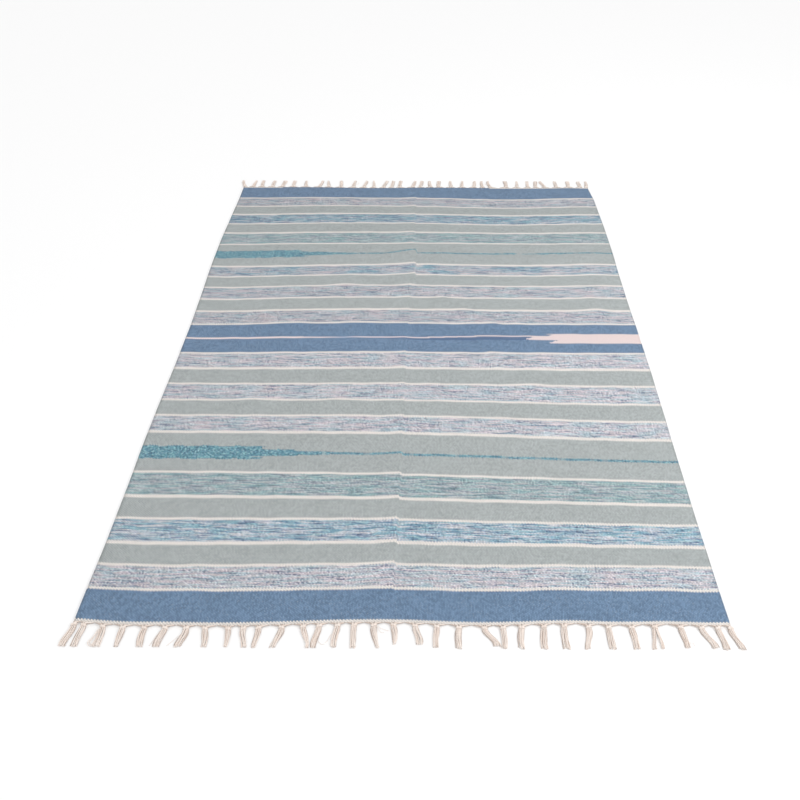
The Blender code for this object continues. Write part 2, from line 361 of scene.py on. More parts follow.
class Graph:
    """The node tree of one material, and the one place where its nodes are made."""

    def __init__(self, name: str) -> None:
        """Start an empty material."""
        self.material = bpy.data.materials.new(name)
        self.material.use_nodes = True
        self.tree = self.material.node_tree
        self.tree.nodes.clear()

    def node(self, kind: str, settings: dict, fed: Optional[dict] = None) -> bpy.types.Node:
        """Add a node.

        Args:
            kind: the node's type.
            settings: its own settings, and for a ramp "stops", pairs of a place and a colour or a level.
            fed: the values or links of its sockets, by name, identifier or number.

        Returns:
            The node.
        """
        made = self.tree.nodes.new(kind)
        for name, setting in settings.items():
            if name == "stops":
                self._set_stops(made.color_ramp, setting)
            else:
                setattr(made, name, setting)
        for key, value in (fed or {}).items():
            self.feed(self._socket(made.inputs, key), value)
        return made

    @staticmethod
    def _socket(sockets: Iterable[bpy.types.NodeSocket], key: Union[str, int]) -> bpy.types.NodeSocket:
        """Find a socket by its number, its identifier or its name."""
        if isinstance(key, int):
            return sockets[key]
        named = [socket for socket in sockets if socket.identifier == key]
        return named[0] if named else sockets[key]

    @staticmethod
    def _set_stops(ramp: bpy.types.ColorRamp, stops: Sequence[tuple]) -> None:
        """Give a ramp its stops; its two first ones are moved, not removed.

        Args:
            ramp: the ramp.
            stops: pairs of a place and a colour or a level.
        """
        for number, (place, colour) in enumerate(stops):
            element = ramp.elements[number] if number < 2 else ramp.elements.new(place)
            element.position = place
            level = (colour,) * 3 if isinstance(colour, (int, float)) else tuple(colour)
            element.color = (*level, 1.0)

    def feed(self, socket: bpy.types.NodeSocket, value: Fed) -> None:
        """Link a socket, or set it where the value is a plain number or colour.

        Args:
            socket: the input.
            value: what it gets.
        """
        if isinstance(value, Value):
            self.tree.links.new(value.socket, socket)
        elif isinstance(value, bpy.types.NodeSocket):
            self.tree.links.new(value, socket)
        elif socket.type == "RGBA":
            socket.default_value = (*value, 1.0)
        else:
            socket.default_value = value

    def attribute(self, name: str) -> tuple[Value, Value, Value]:
        """Read a mesh's own vector attribute as three values."""
        read = self.node("ShaderNodeAttribute", {"attribute_name": name})
        parts = self.node("ShaderNodeSeparateXYZ", {}, {"Vector": read.outputs["Vector"]})
        return tuple(Value(self, output) for output in parts.outputs)

    def vector(self, x: Fed, y: Fed, z: Fed = 0.0) -> bpy.types.NodeSocket:
        """Join three values into a vector."""
        return self.node("ShaderNodeCombineXYZ", {}, {"X": x, "Y": y, "Z": z}).outputs["Vector"]

    def ramp(self, place: Fed, stops: Sequence[tuple], steps: bool = False) -> bpy.types.NodeSocket:
        """Look a colour up by its place from 0 to 1, in steps or with a straight run between the stops."""
        made = self.node("ShaderNodeValToRGB", {"stops": stops}, {"Fac": place})
        made.color_ramp.interpolation = "CONSTANT" if steps else "LINEAR"
        return made.outputs["Color"]

    def level(self, place: Fed, stops: Sequence[tuple], steps: bool = False) -> Value:
        """Look a number from 0 to 1 up by its place from 0 to 1."""
        split = self.node("ShaderNodeSeparateColor", {}, {"Color": self.ramp(place, stops, steps)})
        return Value(self, split.outputs["Red"])

    def cloud(self, place: bpy.types.NodeSocket, detail: float = 2.0, rough: float = 0.5) -> Value:
        """Smooth noise at a place in a plane, about 0.5."""
        made = self.node("ShaderNodeTexNoise", {"noise_dimensions": "2D"},
                         {"Vector": place, "Scale": 1.0, "Detail": detail, "Roughness": rough})
        return Value(self, made.outputs["Fac"])

    def chance(self, place: bpy.types.NodeSocket) -> Value:
        """A number from 0 to 1 that is unlike its neighbours at every other whole place in a plane."""
        made = self.node("ShaderNodeTexWhiteNoise", {"noise_dimensions": "2D"}, {"Vector": place})
        return Value(self, made.outputs["Value"])

    def mix(self, share: Fed, first: Fed, second: Fed, blend: str = "MIX") -> bpy.types.NodeSocket:
        """Mix two colours, or lay the second over the first in another way."""
        made = self.node("ShaderNodeMix", {"data_type": "RGBA", "blend_type": blend, "clamp_factor": True},
                         {"Factor_Float": share, "A_Color": first, "B_Color": second})
        return next(output for output in made.outputs if output.identifier == "Result_Color")

    def shade(self, colour: Fed, factor: Value) -> bpy.types.NodeSocket:
        """Make a colour lighter or darker by a factor."""
        grey = self.vector(factor, factor, factor)
        made = self.node("ShaderNodeVectorMath", {"operation": "MULTIPLY"}, {0: colour, 1: grey})
        return made.outputs["Vector"]

    def finish(self, colour: Fed, roughness: Fed, height: Value, depth: float, specular: float,
               sheen: float) -> bpy.types.Material:
        """Close the graph with its shader.

        Args:
            colour, roughness: the surface's own.
            height: the relief, 0 to 1.
            depth: how deep that relief is, in metres.
            specular, sheen: the shader's constants.

        Returns:
            The finished material.
        """
        bump = self.node("ShaderNodeBump", {}, {"Height": height, "Distance": depth, "Strength": 1.0})
        shader = self.node("ShaderNodeBsdfPrincipled", {},
                           {"Base Color": colour, "Roughness": roughness, "Metallic": 0.0,
                            "Specular IOR Level": specular, "Sheen Weight": sheen, "Sheen Roughness": 0.6,
                            "Normal": bump.outputs["Normal"]})
        self.node("ShaderNodeOutputMaterial", {}, {"Surface": shader.outputs["BSDF"]})
        return self.material


@dataclass(frozen=True)
class SpaceDyed:
    """A weft yarn dyed in runs of several colours, its cool and its warm tones each from palest to darkest.

    Every tone comes with the place from 0 to 1 at which it is reached. contrast is how far the runs spread
    over those places, and speckle how far each single grain of weft strays from its run.
    """

    cool: tuple[tuple[float, Colour], ...]
    warm: tuple[tuple[float, Colour], ...]
    contrast: float
    speckle: float = 0.36


class Place(NamedTuple):
    """Where a shaded point lies in the weave, each part a value in the shader graph.

    across and along are metres in the cloth as it was woven. line is its line of weft and signed its pick,
    both counted from the rug's middle. pick is counted inward from the end of its own half, far is 1 in the
    far half and 0 in the near one, and kind is the number of its band's kind.
    """

    across: Value
    along: Value
    line: Value
    signed: Value
    pick: Value
    far: Value
    kind: Value


@dataclass(frozen=True)
class WovenCotton:
    """The finish of the cloth: every pick's colour, the grain of the weave, its lint, and painted shade and
    light.
    """

    cream: Colour = seen(233, 227, 222)
    blue: Colour = seen(112, 138, 167)
    sage: Colour = seen(174, 180, 180)
    pink: Colour = seen(238, 220, 218)
    indigo: Colour = seen(88, 112, 148)
    faded_line: Colour = seen(150, 172, 200)
    lint: Colour = seen(226, 228, 230)
    teal: SpaceDyed = SpaceDyed(
        ((0.00, seen(166, 206, 211)), (0.30, seen(124, 176, 187)), (0.62, seen(94, 146, 160)),
         (0.95, seen(68, 104, 122))),
        ((0.00, seen(158, 194, 203)), (0.40, seen(112, 158, 175)), (0.95, seen(80, 114, 136))), 1.7, 0.80)
    lilac: SpaceDyed = SpaceDyed(
        ((0.00, seen(210, 218, 222)), (0.30, seen(193, 206, 212)), (0.55, seen(174, 193, 202)),
         (0.76, seen(143, 162, 177)), (0.98, seen(104, 117, 138))),
        ((0.00, seen(226, 216, 219)), (0.35, seen(213, 203, 208)), (0.60, seen(197, 189, 197)),
         (0.80, seen(163, 163, 178)), (0.98, seen(112, 118, 140))), 1.65, 0.56)
    ocean: SpaceDyed = SpaceDyed(
        ((0.00, seen(190, 209, 215)), (0.28, seen(160, 193, 204)), (0.55, seen(132, 173, 189)),
         (0.78, seen(105, 143, 167)), (0.98, seen(84, 106, 134))),
        ((0.00, seen(220, 216, 219)), (0.35, seen(197, 201, 209)), (0.62, seen(169, 179, 195)),
         (0.82, seen(127, 143, 168)), (0.98, seen(92, 108, 136))), 2.0)
    lagoon: SpaceDyed = SpaceDyed(
        ((0.00, seen(186, 202, 202)), (0.30, seen(162, 188, 189)), (0.55, seen(144, 174, 178)),
         (0.78, seen(122, 150, 158)), (0.98, seen(100, 120, 132))),
        ((0.00, seen(200, 202, 205)), (0.38, seen(182, 186, 191)), (0.62, seen(164, 171, 179)),
         (0.98, seen(118, 128, 142))), 1.8)
    finger_starts: tuple[float, ...] = (
        0.422, 0.418, 0.423, 0.432, 0.439, 0.444, 0.357, 0.349, 0.353, 0.361, 0.371, 0.365, -1.0, -1.0, 0.420,
        0.424, 0.429, 0.415,
    )
    first_finger: int = -13
    finger_fray: float = 0.008
    inlay_climb: float = 3.6
    thick_line: float = -0.34
    wedge_picks: float = 16.0
    wedge_half_picks: float = 9.0
    wedge_drop_picks: float = 9.0
    wedge_fray: float = 0.034
    hidden_end_middle: float = -0.12
    hidden_end_reach: float = 0.42
    yarn_jitter: float = 0.0030
    yarn_wobble: float = 0.0035
    grain_lean: float = 0.35
    grain_depth: float = 0.0009
    # Painted shade in the grooves between the grains of weft, and painted highlight on their crowns
    painted_groove_shade: float = 0.66
    painted_crown_light: float = 0.60
    # Painted light: the cloth's colour is lighter towards the right, and painted shade darkens the far end,
    # the mottled bands by more
    painted_rightward_light: float = 0.05
    painted_far_shade: float = 0.08
    painted_far_mottle_shade: float = 0.09
    selvedge_place: float = 0.6945
    lint_scale: float = 120.0
    lint_radius: float = 0.075

    def make(self) -> bpy.types.Material:
        """Build the material."""
        graph = Graph("woven_cotton")
        across, along, _ = graph.attribute("weave")
        pair = along / (2.0 * PICK_PITCH)
        jitter = graph.chance(graph.vector(pair.floor(), 5.0)) * self.yarn_jitter
        wobble = graph.cloud(graph.vector(across * 28.0, along * 7.0)) * self.yarn_wobble
        column = (across + wobble + jitter) / WARP_PITCH
        turn = column.floor() % 2.0
        row = pair + turn * 0.5
        grain = graph.vector(column.fraction() - 0.5, row.fraction() - 0.5)
        signed = (row.floor() + 0.5 - turn * 0.5) * 2.0
        pick = ((HALF_PLAN / PICK_PITCH) - abs(signed)).floor() + END_PICKS
        far = signed > 0.0

        # Along the middle of the far end the cream end row isn't seen, and blue is the last to show
        middle = abs(across - self.hidden_end_middle) < self.hidden_end_reach
        hidden = far * (pick < END_PICKS - 0.5) * middle
        kind = self._band_kind(graph, pick + hidden * END_PICKS)
        here = Place(across, along, (along / PICK_PITCH).floor(), signed, pick, far, kind)
        colour = self._plain_bands(graph, here)
        colour = self._mottled_bands(graph, here, colour)
        colour = self._teal_inlay(graph, here, colour)
        colour = self._wear(graph, here, colour, graph.vector(column.floor(), signed))
        colour = self._centre_inlay(graph, here, colour)

        domes = self._domes(graph, grain)
        fibre = graph.cloud(graph.vector(across * 2400.0, along * 1500.0), 2.0)
        height = domes * 0.85 + fibre * 0.15
        # The relief of the grains is also painted into the colour: painted shade in the grooves, painted
        # highlight on the crowns
        colour = graph.shade(colour, self.painted_groove_shade + domes * self.painted_crown_light)
        roughness = 0.84 + fibre * 0.14
        return graph.finish(colour, roughness, height, self.grain_depth, 0.15, 0.10)

    @staticmethod
    def _band_kind(graph: Graph, pick: Value) -> Value:
        """Look up which kind of band a pick belongs to.

        A ramp holds 256 steps, so the plan's 388 picks are read from two: one for the bands from the end of
        the rug, one for those from the middle of its half on.

        Args:
            graph: the material.
            pick: the pick, counted from the end of its half.

        Returns:
            The number of the kind.
        """
        kinds, halfway = [], sum(band.picks for band in BAND_PLAN[:OUTER_BANDS])
        for first, bands in ((0, BAND_PLAN[:OUTER_BANDS]), (halfway, BAND_PLAN[OUTER_BANDS:])):
            stops, start = [], 0
            for band in bands:
                stops.append((max(0.0, (start - 0.5) / RAMP_CELLS), band.kind.value / len(BandKind)))
                start += band.picks
            kinds.append(graph.level((pick - (first - 0.25)) / RAMP_CELLS, stops, steps=True))
        outer, inner = kinds
        past = pick > halfway - 0.5
        return (outer + past * (inner - outer)) * len(BandKind)

    def _plain_bands(self, graph: Graph, here: Place) -> bpy.types.NodeSocket:
        """The colours of the bands of one yarn."""
        colour = graph.mix(here.kind.equals(BandKind.BLUE.value), self.cream, self.blue)
        return graph.mix(here.kind.equals(BandKind.SAGE.value), colour, self.sage)

    @staticmethod
    def _runs(graph: Graph, here: Place, yarn: SpaceDyed, run: float, seed: float) -> bpy.types.NodeSocket:
        """The colour of a space-dyed yarn along its line of weft.

        Args:
            graph: the material.
            here: the place in the weave.
            yarn: its tones.
            run: the usual length of one colour, in metres.
            seed: what sets this yarn apart from the others.

        Returns:
            The colour.
        """
        runs = graph.cloud(graph.vector(here.across / run + seed, here.line * 7.31), 2.0, 0.55)
        grain = graph.chance(graph.vector((here.across / WARP_PITCH).floor(), here.line))
        depth = (runs - 0.5) * yarn.contrast + 0.5 + (grain - 0.5) * yarn.speckle
        hue = graph.cloud(graph.vector(here.across / run * 0.6 - seed, here.line * 0.38 + seed), 2.0, 0.6)
        hue = (hue + (graph.chance(graph.vector(here.line, seed)) - 0.5) * 0.16).eased(0.36, 0.64)
        return graph.mix(hue, graph.ramp(depth, yarn.cool), graph.ramp(depth, yarn.warm))

    def _mottled_bands(self, graph: Graph, here: Place, colour: Fed) -> bpy.types.NodeSocket:
        """Lay the three space-dyed yarns over their bands.

        Args:
            graph: the material.
            here: the place in the weave.
            colour: what the other bands have.

        Returns:
            The colour.
        """
        turned = here.kind.equals(BandKind.TURNED.value)
        lilac = here.kind.equals(BandKind.LILAC.value) + turned * (1.0 - here.far)
        patches = graph.cloud(graph.vector(here.across * 9.0, here.line * 0.09)).eased(0.38, 0.60)
        ocean = here.kind.equals(BandKind.OCEAN.value) + turned * here.far
        # Painted light for the mottled bands: lighter towards the right, with painted shade over the far half
        level = 1.0 + here.across * self.painted_rightward_light - here.far * self.painted_far_mottle_shade
        greens = self._runs(graph, here, self.lagoon, 0.050, 3.0)
        blues = graph.shade(self._runs(graph, here, self.ocean, 0.046, 11.0), level)
        lilacs = graph.shade(self._runs(graph, here, self.lilac, 0.052, 23.0), level)
        colour = graph.mix(here.kind.equals(BandKind.LAGOON.value), colour, greens)
        return graph.mix(lilac + turned * here.far * patches, graph.mix(ocean, colour, blues), lilacs)

    def _teal_inlay(self, graph: Graph, here: Place, colour: Fed) -> bpy.types.NodeSocket:
        """The teal wedge in each wide sage band: thick from the left selvedge, then stepping down to a line.

        Args:
            graph: the material.
            here: the place in the weave.
            colour: what lies round it.

        Returns:
            The colour.
        """
        place = (here.across + 0.70) / 1.40
        climb = graph.level(place, ((0.42, 0.0), (0.505, 0.72), (0.506, 0.0), (1.0, 0.1)))
        wobble = (graph.cloud(graph.vector(here.across * 22.0, here.far * 5.0), 1.0) - 0.5) * 1.2
        away = abs(here.pick - TEAL_PICK + climb * here.far * self.wedge_drop_picks + wobble)
        steps = ((0.0, 1.0), (0.10, 0.34), (0.16, 0.283), (0.30, 0.225), (0.56, 0.0))
        ends = graph.level(away / self.wedge_picks, steps, steps=True)
        ragged = (graph.chance(graph.vector(here.line, 4.0)) - 0.5) * self.wedge_fray
        reach = ends + ragged * (ends < 0.5)
        gap = graph.cloud(graph.vector(here.across * 34.0, here.far * 3.0), 1.0) < 0.40
        broken = here.far * (abs(here.across - 0.39) < 0.035)
        worn = 1.0 - (gap * 0.40 + broken * 0.55) * (place > 0.34)
        mask = (place < reach) * worn * (away < self.wedge_half_picks)
        return graph.mix(mask, colour, self._runs(graph, here, self.teal, 0.007, 41.0))

    def _centre_inlay(self, graph: Graph, here: Place, colour: Fed) -> bpy.types.NodeSocket:
        """The line along the middle, the pink tongue that it opens into, and the darker blue beside it.

        Args:
            graph: the material.
            here: the place in the weave.
            colour: what lies round them.

        Returns:
            The colour.
        """
        across = here.across
        lanes = len(self.finger_starts)
        lane = here.signed - across.eased(0.0, 0.22) * self.inlay_climb
        place = (lane - self.first_finger + 0.5) / lanes
        stops = [(number / lanes, (start + 1.0) / 2.0) for number, start in enumerate(self.finger_starts)]
        start = graph.level(place, stops, steps=True) * 2.0 - 1.0
        within = (place > 0.0) * (place < 1.0)
        ragged = (graph.chance(graph.vector(here.signed, 9.0)) - 0.5) * self.finger_fray
        pink = within * (across > start + ragged) + lane.equals(1.0) * (across < self.thick_line)
        streak = (lane < -1.5) * (lane > -7.5)
        streak = streak * (across > -0.14 + abs(lane + 2.0) * 0.06) * (across < 0.44)
        colour = graph.mix(streak * 0.9, colour, self.indigo)
        fading = ((0.0, 0.0), (0.30, 0.0), (0.35, 0.8), (0.39, 0.1), (1.0, 0.0))
        faded = graph.level((across + 0.70) / 1.40, fading)
        line = graph.mix(faded, self.pink, self.faded_line)
        return graph.mix(pink, colour, line)

    def _wear(self, graph: Graph, here: Place, colour: Fed,
              thread: bpy.types.NodeSocket) -> bpy.types.NodeSocket:
        """Uneven dye, single paler grains, lint, the tighter darker turn at each selvedge, and painted light:
        lighter towards the right, with a painted shade over the far end.

        Args:
            graph: the material.
            here: the place in the weave.
            colour: the cloth's before wear.
            thread: the column and pick of a single grain.

        Returns:
            The colour.
        """
        across, along, kind = here.across, here.along, here.kind
        patch = graph.cloud(graph.vector(across * 9.0, along * 24.0), 4.0, 0.6) - 0.5
        streak = graph.cloud(graph.vector(across * 14.0, along * 330.0), 1.0) - 0.5
        single = graph.chance(thread) - 0.5
        # Painted light, lighter towards the right, and painted shade, darker towards the far end
        light = 1.0 + across * self.painted_rightward_light - along.eased(0.30, 1.00) * self.painted_far_shade
        grain = 0.24 - kind.equals(BandKind.CREAM.value) * 0.16 + (kind > BandKind.SAGE.value + 0.5) * 0.14
        grain = grain + kind.equals(BandKind.BLUE.value) * 0.14
        factor = light + patch * 0.12 + streak * 0.16 + single * grain
        selvedge = (abs(across) - self.selvedge_place).eased(0.0, 0.004)
        turn = (along / (2.0 * PICK_PITCH)).fraction() < 0.4
        colour = graph.shade(colour, factor - selvedge * (0.04 + turn * 0.24))
        flecks = graph.node("ShaderNodeTexVoronoi", {"voronoi_dimensions": "2D"},
                            {"Vector": graph.vector(across, along), "Scale": self.lint_scale})
        near = Value(graph, flecks.outputs["Distance"]) < self.lint_radius
        pick_some = graph.cloud(graph.vector(across * 30.0, along * 30.0), 1.0) > 0.52
        return graph.mix(near * pick_some * 0.5, colour, self.lint)

    def _domes(self, graph: Graph, grain: bpy.types.NodeSocket) -> Value:
        """The rounded top of each grain of weft, where it passes over a warp.

        Args:
            graph: the material.
            grain: the place in the grain, from its middle, -0.5 to 0.5 each way.

        Returns:
            The height, 1 at its top.
        """
        parts = graph.node("ShaderNodeSeparateXYZ", {}, {"Vector": grain})
        end = Value(graph, parts.outputs["Y"])
        side = Value(graph, parts.outputs["X"]) + end * self.grain_lean
        return (1.0 - side * side * 2.8) * (1.0 - end * end * 2.4)


@dataclass(frozen=True)
class FringeCotton:
    """The finish of the warp yarns: undyed cotton, two plies loosely twisted."""

    pale: Colour = (0.98, 0.90, 0.84)
    tan: Colour = (0.86, 0.71, 0.62)
    ply_pitch: float = 0.0056
    ply_depth: float = 0.0005
    outer_shade: float = 0.26

    def make(self) -> bpy.types.Material:
        """Build the material from the yarns' own attribute: way round, way along, and each one's tone."""
        graph = Graph("fringe_cotton")
        around, along, tone = graph.attribute("yarn")
        ply = ((around * 2.0 + along / self.ply_pitch) * (2.0 * pi)).sine()
        fibre = graph.cloud(graph.vector(along * 900.0 + around * 3.0, around * 40.0 + tone * 97.0), 3.0)
        slub = graph.cloud(graph.vector(along * 60.0, tone * 53.0), 2.0)
        colour = graph.mix(tone * 0.55 + (slub - 0.5) * 0.9 + 0.1, self.pale, self.tan)
        outer = (tone > 1.0) * self.outer_shade
        # The ply twist darkens the colour in its grooves as painted shade, and the outermost yarns are
        # darkened as painted shadow
        colour = graph.shade(colour, 0.94 + ply * 0.04 + (fibre - 0.5) * 0.12 - outer)
        height = ply * 0.35 + 0.4 + fibre * 0.25
        return graph.finish(colour, 0.86 + fibre * 0.1, height, self.ply_depth, 0.12, 0.15)


@dataclass(frozen=True)
class StudioPaper:
    """The finish of the floor: a pale seamless paper."""

    colour: Colour = (0.95, 0.95, 0.95)

    def make(self) -> bpy.types.Material:
        """Build the material."""
        graph = Graph("studio_paper")
        grain = graph.node("ShaderNodeTexNoise", {}, {"Scale": 40.0, "Detail": 3.0})
        height = Value(graph, grain.outputs["Fac"])
        return graph.finish(self.colour, 0.9, height, 0.0001, 0.1, 0.0)


def mesh_object(name: str, points: np.ndarray, faces: Sequence[Sequence[int]],
                finish: bpy.types.Material) -> bpy.types.Object:
    """Make a smooth-shaded mesh object and link it to the scene.

    Args:
        name: the piece's name.
        points: its vertices, one row each.
        faces: the vertices of each face.
        finish: its material.

    Returns:
        The object.
    """
    mesh = bpy.data.meshes.new(name)
    mesh.from_pydata(points.tolist(), [], faces)
    mesh.update()
    mesh.shade_smooth()
    mesh.materials.append(finish)
    made = bpy.data.objects.new(name, mesh)
    bpy.context.scene.collection.objects.link(made)
    return made


@dataclass
class Cloth:
    """The woven cloth: one thin closed sheet that follows its folds."""

    width: float = 1.400
    length: float = 2.012
    thickness: float = 0.004
    column_pitch: float = 0.0092
    fold_pitch: float = 0.0022
    fold_span: tuple[float, float] = (-0.050, 0.024)
    row_pitch: float = 0.0086
    end_reach: float = 0.55
    corner_taper: float = 0.10
    ripple: float = 0.0006
    selvedge_width: float = 0.0045
    selvedge_rise: float = 0.0003
    rounding: tuple[tuple[float, float], ...] = ((0.0011, 0.92), (0.0003, 0.70), (0.0, 0.50), (0.0003, 0.30),
                                                 (0.0011, 0.08))
    end_shares: tuple[tuple[float, float], ...] = ((0.0, 0.30), (0.0004, 0.70), (0.0014, 1.0))

    def columns(self) -> np.ndarray:
        """The places across at which the sheet has its vertices: close together at the fold."""
        low, high = self.fold_span
        half = self.width / 2 - self.rounding[0][0]
        left = np.linspace(-half, low, ceil((low + half) / self.column_pitch), endpoint=False)
        fine = np.linspace(low, high, ceil((high - low) / self.fold_pitch), endpoint=False)
        right = np.linspace(high, half, ceil((half - high) / self.column_pitch) + 1)
        return np.concatenate((left, fine, right))

    def rows(self) -> np.ndarray:
        """The places along, from the near end to the far one."""
        half = self.length / 2
        inset = self.end_shares[-1][0]
        count = ceil((self.length - 2 * inset) / self.row_pitch) + 1
        inner = np.linspace(-half + inset, half - inset, count)
        end = np.array([offset for offset, _ in self.end_shares[:-1]])
        return np.concatenate((end - half, inner, half - end[::-1]))

    def height(self, x: np.ndarray, y: np.ndarray) -> np.ndarray:
        """How far the cloth's underside stands off the floor.

        Args:
            x, y: places on the floor.

        Returns:
            The height in metres.
        """
        ripples = np.sin(x * 13.0 + y * 4.0 + 0.6) * np.sin(y * 9.0 - x * 5.0)
        ripples = ripples + np.sin(x * 31.0 - y * 17.0) * 0.4
        lift = np.maximum(ripples, 0.0) * self.ripple
        for fold in FOLDS:
            lift = lift + fold.height * fold.share(x, y)
        edge = np.minimum(self.length / 2 - np.abs(y), self.width / 2 - np.abs(x))
        return lift * np.clip(edge / 0.05, 0.0, 1.0) ** 0.5

    def pull(self, x: np.ndarray, y: np.ndarray) -> np.ndarray:
        """How far the picks at a place are out of the plan's true.

        Args:
            x, y: places on the floor.

        Returns:
            What the places along the cloth gain, in metres.
        """
        wave = np.sin(x * 47.0 + np.sin(y * 19.0) * 2.0) * 0.0006 + np.sin(x * 83.0 + y * 29.0) * 0.0004
        for fold in (*FOLDS, *DRIFTS):
            wave = wave + fold.pull * fold.share(x, y)
        return wave * np.clip((self.length / 2 - np.abs(y)) / 0.10, 0.0, 1.0)

    def lay(self, across: np.ndarray, along: np.ndarray) -> tuple[np.ndarray, np.ndarray]:
        """Where a place in the rectangular cloth comes to lie: its ends and its selvedges swell a little.

        Args:
            across, along: places in the cloth.

        Returns:
            x and y on the floor.
        """
        ends = {side: np.array([swell_at(value, END_SWELLS[side]) for value in across[0]]) for side in Side}
        reach = np.clip(1.0 - (self.length / 2 - np.abs(along)) / self.end_reach, 0.0, 1.0) ** 2
        out = np.where(along < 0.0, ends[Side.NEAR][None, :], ends[Side.FAR][None, :])
        taper = np.clip((self.length / 2 - np.abs(along)) / self.corner_taper, 0.0, 1.0)
        right, left = (np.array([[swell_at(value, swells)] for value in along[:, 0]])
                       for swells in (RIGHT_SWELLS, LEFT_SWELLS))
        rightward = across / self.width + 0.5
        side = np.clip((np.abs(across) - 0.60) / 0.10, 0.0, 1.0)
        waver = (np.sin(along * 11.0 + across * 3.0) + np.sin(along * 29.0) * 0.5) * 0.0005 * side
        bow = (right * rightward - left * (1.0 - rightward)) * taper
        return across + bow + waver, along + np.sign(along) * out * reach

    def build(self, finish: bpy.types.Material) -> bpy.types.Object:
        """Build the sheet.

        Args:
            finish: its material.

        Returns:
            The piece.
        """
        across, along = np.meshgrid(self.columns(), self.rows())
        x, y = self.lay(across, along)
        lift = self.height(x, y)
        flat_along = along + self.pull(x, y)
        inset = self.length / 2 - np.abs(along)
        offsets, shares = zip(*self.end_shares)
        share = np.interp(inset, offsets, shares)
        rib = np.exp(-((self.width / 2 - np.abs(across)) / self.selvedge_width) ** 2) * self.selvedge_rise
        middle = lift + self.thickness / 2
        layers = [(x, middle + (self.thickness / 2 + rib) * share, across)]
        layers += self._edge(x, lift, across, share, 1.0)
        layers.append((x[:, ::-1], middle[:, ::-1] - self.thickness / 2 * share, across[:, ::-1]))
        layers += self._edge(x, lift, across, share, -1.0)
        return self._loft(layers, y, flat_along, lift, finish)

    def _edge(self, x: np.ndarray, lift: np.ndarray, across: np.ndarray, share: np.ndarray,
              way: float) -> list[tuple[np.ndarray, np.ndarray, np.ndarray]]:
        """The rounded selvedge, one column at a time: downward at the right, upward at the left.

        Args:
            x, lift, across: the sheet's places on the floor, its heights, and its places in the weave.
            share: how much of its thickness each place has.
            way: 1 for the right selvedge, -1 for the left.

        Returns:
            For each column its places across the floor, its heights and its places in the weave.
        """
        column = -1 if way > 0.0 else 0
        made = []
        for inset, level in self.rounding if way > 0.0 else self.rounding[::-1]:
            out = way * (self.rounding[0][0] - inset)
            height = lift[:, column] + self.thickness * (0.5 + (level - 0.5) * share[:, column])
            made.append(((x[:, column] + out)[:, None], height[:, None], (across[:, column] + out)[:, None]))
        return made

    def _loft(self, layers: list, y: np.ndarray, flat_along: np.ndarray, lift: np.ndarray,
              finish: bpy.types.Material) -> bpy.types.Object:
        """Join the rows' closed sections into one sheet and close its two ends.

        Args:
            layers: the top, the right selvedge, the underside and the left selvedge, as _edge gives them.
            y, lift: the sheet's places along the floor and its heights.
            flat_along: its places along the weave.
            finish: its material.

        Returns:
            The piece.
        """
        x = np.concatenate([layer[0] for layer in layers], axis=1)
        z = np.concatenate([layer[1] for layer in layers], axis=1)
        across = np.concatenate([layer[2] for layer in layers], axis=1)
        edge = len(self.rounding)
        right = np.repeat([[-1]], edge, axis=1)[0]
        order = np.concatenate((np.arange(y.shape[1]), right, np.arange(y.shape[1])[::-1], right * 0))
        section = len(order)
        points = np.stack((x, y[:, order], z), axis=-1)
        weave = np.stack((across, flat_along[:, order], lift[:, order]), axis=-1)
        rows = points.shape[0]
        faces = []
        for row in range(rows - 1):
            for step in range(section):
                after = (step + 1) % section
                faces.append((row * section + step, row * section + after,
                              (row + 1) * section + after, (row + 1) * section + step))
        faces += self._end_faces(section, 0, False)
        faces += self._end_faces(section, (rows - 1) * section, True)
        made = mesh_object("kilim_cloth", points.reshape(-1, 3), faces, finish)
        held = made.data.attributes.new("weave", "FLOAT_VECTOR", "POINT")
        held.data.foreach_set("vector", weave.reshape(-1).astype(np.float32))
        return made

    def _end_faces(self, section: int, first: int, far: bool) -> list[tuple[int, ...]]:
        """Close an end with a strip of faces between the top and the underside.

        Args:
            section: how many vertices a row has.
            first: the row's first vertex.
            far: whether it is the far end.

        Returns:
            The faces.
        """
        edge = len(self.rounding)
        top = (section - 2 * edge) // 2
        upper = [section - 1 - n for n in range(edge // 2 + 1)][::-1] + list(range(top))
        upper += [top + n for n in range(edge // 2 + 1)]
        lower = [section - 1 - n for n in range(edge // 2, edge)]
        lower += list(range(section - edge - 1, top + edge - 1, -1))
        lower += [top + n for n in range(edge - 1, edge // 2 - 1, -1)]
        faces = []
        for n in range(len(upper) - 1):
            corners = (upper[n], upper[n + 1], lower[n + 1], lower[n])
            corners = tuple(first + corner for corner in dict.fromkeys(corners))
            faces.append(corners if far else corners[::-1])
        return faces


class Tassel(NamedTuple):
    """One knotted tassel, all in millimetres.

    across is the knot's place from the rug's middle, lean the sideways run of the tip, pitch the spacing of
    the yarns' tips, split the gap between the two legs of one that has parted, and short how much sooner
    than its neighbours it ends.
    """

    across: float
    lean: float
    pitch: float = 3.0
    split: float = 0.0
    short: float = 0.0


